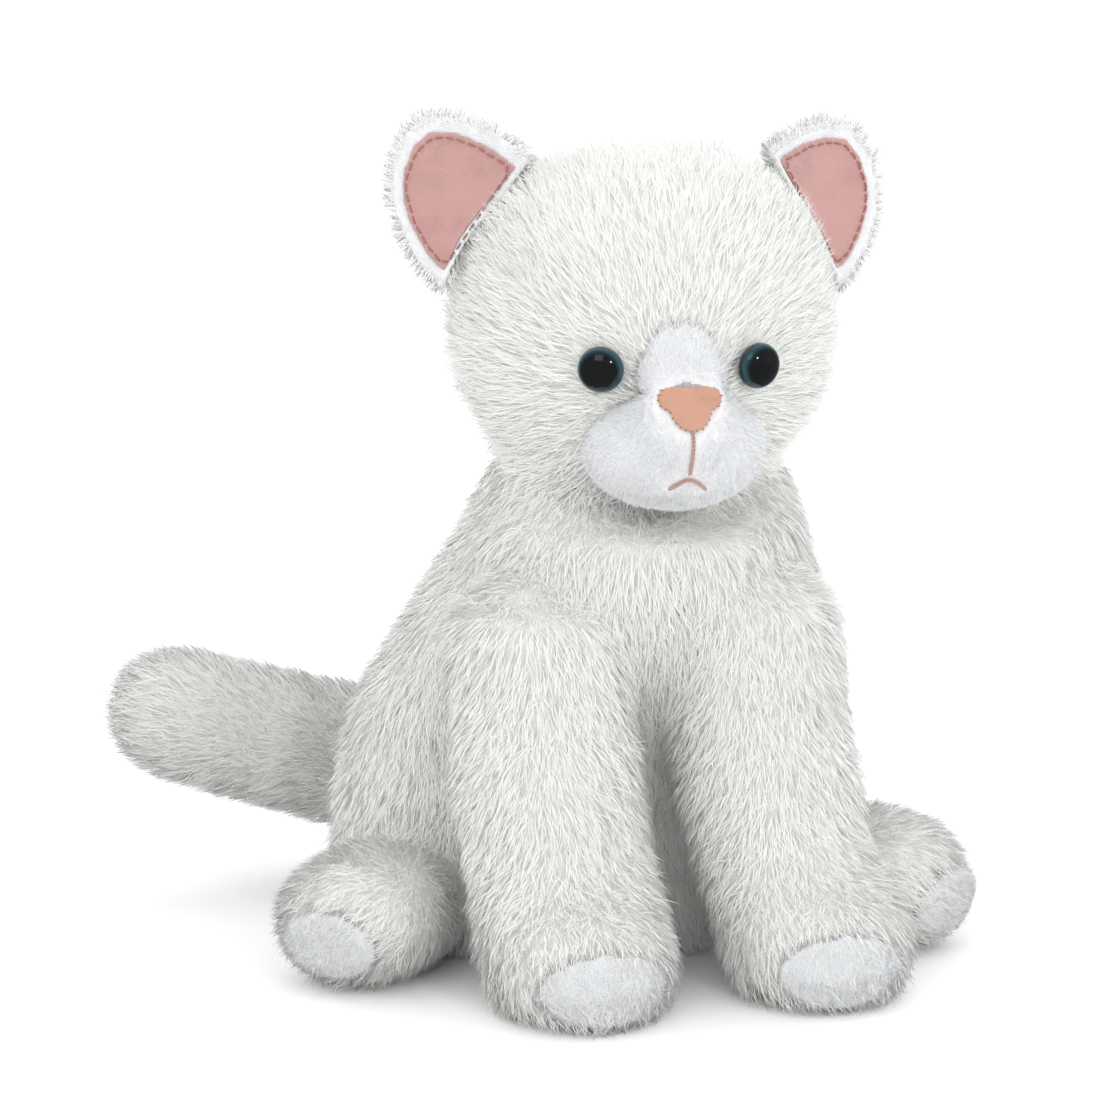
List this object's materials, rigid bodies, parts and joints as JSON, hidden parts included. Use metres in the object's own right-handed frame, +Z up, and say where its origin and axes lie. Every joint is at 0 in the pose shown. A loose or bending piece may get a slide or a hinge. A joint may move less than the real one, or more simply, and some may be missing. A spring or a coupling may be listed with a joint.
{
  "type": "plush cat",
  "caption": "Seated white plush cat with a turning head, folding ears, swinging legs and a bending tail, on a flat seat base.",
  "frame": {"origin": "on the floor, straight under the axis that the head turns about, on the flat seat base", "axes": "+Z up, the cat faces -Y and its left side is towards +X"},
  "size_m": [0.2104, 0.1869, 0.221],
  "materials": {
    "long_fur": "long white pile",
    "short_fur": "short white pile",
    "filling": "loose polyester fibre",
    "pouch_cloth": "woven cotton, filled with pellets",
    "white_thread": "twisted thread",
    "pink_thread": "twisted thread",
    "label_satin": "satin ribbon, blank",
    "pink_velour": "satin velour",
    "peach_felt": "sueded felt",
    "eye_black": "moulded, painted iris",
    "eye_clear": "clear moulded dome",
    "washer_plastic": "moulded"
  },
  "bodies": {
    "torso": {"torso_skin": "long_fur", "torso_stuffing": "filling", "pellet_pouch": "pouch_cloth", "closing_seam_thread": "white_thread", "care_label": "label_satin"},
    "neck": {"neck_seam_thread": "white_thread"},
    "head": {"head_skin": "long_fur", "head_stuffing": "filling", "muzzle_panel": "short_fur", "muzzle_stuffing": "filling", "nose_applique": "peach_felt", "mouth_line_stitch": "pink_thread", "mouth_arc_stitch": "pink_thread", "eye_core_left": "eye_black", "eye_lens_left": "eye_clear", "eye_washer_left": "washer_plastic", "eye_core_right": "eye_black", "eye_lens_right": "eye_clear", "eye_washer_right": "washer_plastic"},
    "ear_left": {"ear_back_left": "short_fur", "ear_lining_left": "pink_velour", "ear_topstitch_left": "pink_thread"},
    "front_leg_left": {"front_leg_skin_left": "long_fur", "front_leg_stuffing_left": "filling", "front_toe_pad_left": "short_fur"},
    "hind_leg_left": {"hind_leg_skin_left": "long_fur", "hind_leg_stuffing_left": "filling", "hind_sole_pad_left": "short_fur"},
    "ear_right": {"ear_back_right": "short_fur", "ear_lining_right": "pink_velour", "ear_topstitch_right": "pink_thread"},
    "front_leg_right": {"front_leg_skin_right": "long_fur", "front_leg_stuffing_right": "filling", "front_toe_pad_right": "short_fur"},
    "hind_leg_right": {"hind_leg_skin_right": "long_fur", "hind_leg_stuffing_right": "filling", "hind_sole_pad_right": "short_fur"},
    "tail_base": {"tail_seam_thread": "white_thread"},
    "tail": {"tail_skin": "long_fur", "tail_stuffing": "filling"}
  },
  "joints": [
    {"name": "head_turn", "type": "hinge", "parent": "torso", "child": "neck", "pos_m": [0, 0, 0.166], "axis": [0, 0, 1], "range_deg": [-20, 20], "stiffness_Nm_per_rad": 0.15},
    {"name": "head_nod", "type": "hinge", "parent": "neck", "child": "head", "pos_m": [0, 0, 0.166], "axis": [0.9969, -0.0785, 0], "range_deg": [-12, 6], "stiffness_Nm_per_rad": 0.15},
    {"name": "ear_fold_left", "type": "hinge", "parent": "head", "child": "ear_left", "pos_m": [0.04206, -0.00732, 0.19625], "axis": [0.5485, -0.0779, -0.8325], "range_deg": [-12, 20], "stiffness_Nm_per_rad": 0.02},
    {"name": "ear_fold_right", "type": "hinge", "parent": "head", "child": "ear_right", "pos_m": [-0.04268, -0.00065, 0.19625], "axis": [0.6727, -0.0494, 0.7383], "range_deg": [-12, 20], "stiffness_Nm_per_rad": 0.02},
    {"name": "front_leg_swing_left", "type": "hinge", "parent": "torso", "child": "front_leg_left", "pos_m": [0.0245, -0.014, 0.088], "axis": [-1, 0, 0], "range_deg": [0, 40], "stiffness_Nm_per_rad": 0.12},
    {"name": "front_leg_swing_right", "type": "hinge", "parent": "torso", "child": "front_leg_right", "pos_m": [-0.0325, -0.014, 0.088], "axis": [-1, 0, 0], "range_deg": [0, 40], "stiffness_Nm_per_rad": 0.12},
    {"name": "hind_leg_swing_left", "type": "hinge", "parent": "torso", "child": "hind_leg_left", "pos_m": [0.037, 0.025, 0.0172], "axis": [0, 0, 1], "range_deg": [0, 12], "stiffness_Nm_per_rad": 0.12},
    {"name": "hind_leg_swing_right", "type": "hinge", "parent": "torso", "child": "hind_leg_right", "pos_m": [-0.045, 0.025, 0.0172], "axis": [0, 0, -1], "range_deg": [0, 12], "stiffness_Nm_per_rad": 0.12},
    {"name": "tail_swing", "type": "hinge", "parent": "torso", "child": "tail_base", "pos_m": [-0.008, 0.064, 0.026], "axis": [0, 0, 1], "range_deg": [-30, 12], "stiffness_Nm_per_rad": 0.2},
    {"name": "tail_lift", "type": "hinge", "parent": "tail_base", "child": "tail", "pos_m": [-0.008, 0.064, 0.026], "axis": [0.2149, 0.9766, 0], "range_deg": [-10, 30], "stiffness_Nm_per_rad": 0.2}
  ]
}
